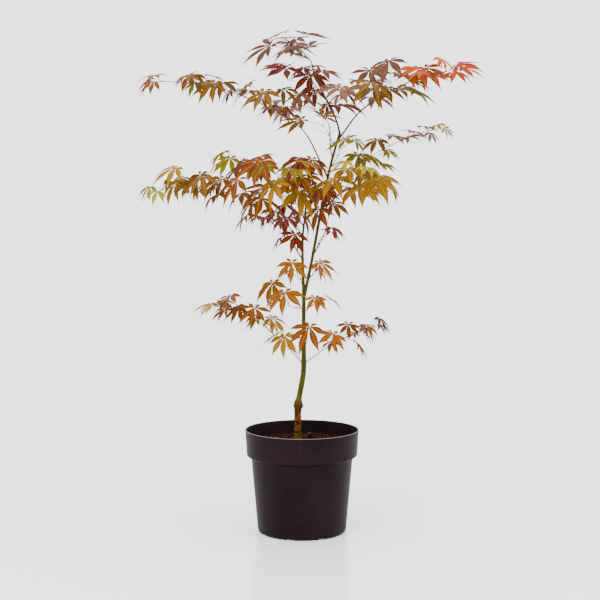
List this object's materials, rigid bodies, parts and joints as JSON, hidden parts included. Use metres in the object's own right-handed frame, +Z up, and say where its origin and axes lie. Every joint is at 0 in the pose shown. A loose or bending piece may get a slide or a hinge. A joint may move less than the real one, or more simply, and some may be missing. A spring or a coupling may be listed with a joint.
{
  "type": "potted japanese maple",
  "caption": "Young Japanese maple in a round nursery pot, with a thin green stem, wide level boughs and hanging autumn leaves.",
  "frame": {"origin": "middle of the pot's flat underside", "axes": "+Z up along the pot's axis, +X to the right and +Y away from the viewer of the usual front view"},
  "size_m": [0.596, 0.3989, 0.8499],
  "materials": {
    "pot": "satin near-black plastic",
    "soil": "damp reddish bark and peat",
    "stem": "smooth green bark, brown below the graft",
    "leaves_golden": "thin golden yellow leaves",
    "leaves_orange": "thin orange-brown leaves",
    "leaves_olive": "thin olive and yellow-green leaves",
    "leaves_mauve": "thin mauve-brown leaves",
    "leaves_crimson": "thin dark red leaves"
  },
  "bodies": {
    "root": {"pot": "pot", "soil": "soil", "trunk": "stem", "right_leader": "stem", "bough_top": "stem", "bough_upper_right": "stem", "bough_upper_left": "stem", "bough_mid_right": "stem", "bough_mid_left": "stem", "bough_inner_left": "stem", "bough_small_right": "stem", "bough_front_left": "stem", "bough_front_right": "stem", "bough_back_right": "stem", "bough_back_left": "stem", "bough_back_upper": "stem", "bough_low_left": "stem", "bough_low_right": "stem", "foliage_front_left": "leaves_orange", "foliage_front_right": "leaves_olive", "foliage_mid_left": "leaves_golden", "foliage_inner_left": "leaves_orange", "foliage_top": "leaves_mauve", "foliage_upper_left": "leaves_orange", "foliage_upper_right": "leaves_crimson", "foliage_mid_right": "leaves_mauve", "foliage_low_left": "leaves_golden", "foliage_low_right": "leaves_orange", "foliage_heart": "leaves_crimson", "foliage_small_right": "leaves_crimson", "foliage_back_right": "leaves_mauve", "foliage_back_left": "leaves_crimson", "foliage_back_upper": "leaves_mauve", "foliage_collar_left": "leaves_crimson", "foliage_collar_right": "leaves_crimson", "foliage_ring_left": "leaves_orange", "foliage_ring_right": "leaves_orange", "foliage_band_left": "leaves_orange", "foliage_band_right": "leaves_orange", "foliage_crown_left": "leaves_crimson", "foliage_crown_right": "leaves_mauve", "foliage_crown_fork": "leaves_mauve", "foliage_leader_right": "leaves_olive", "foliage_node_right": "leaves_orange"}
  },
  "joints": []
}
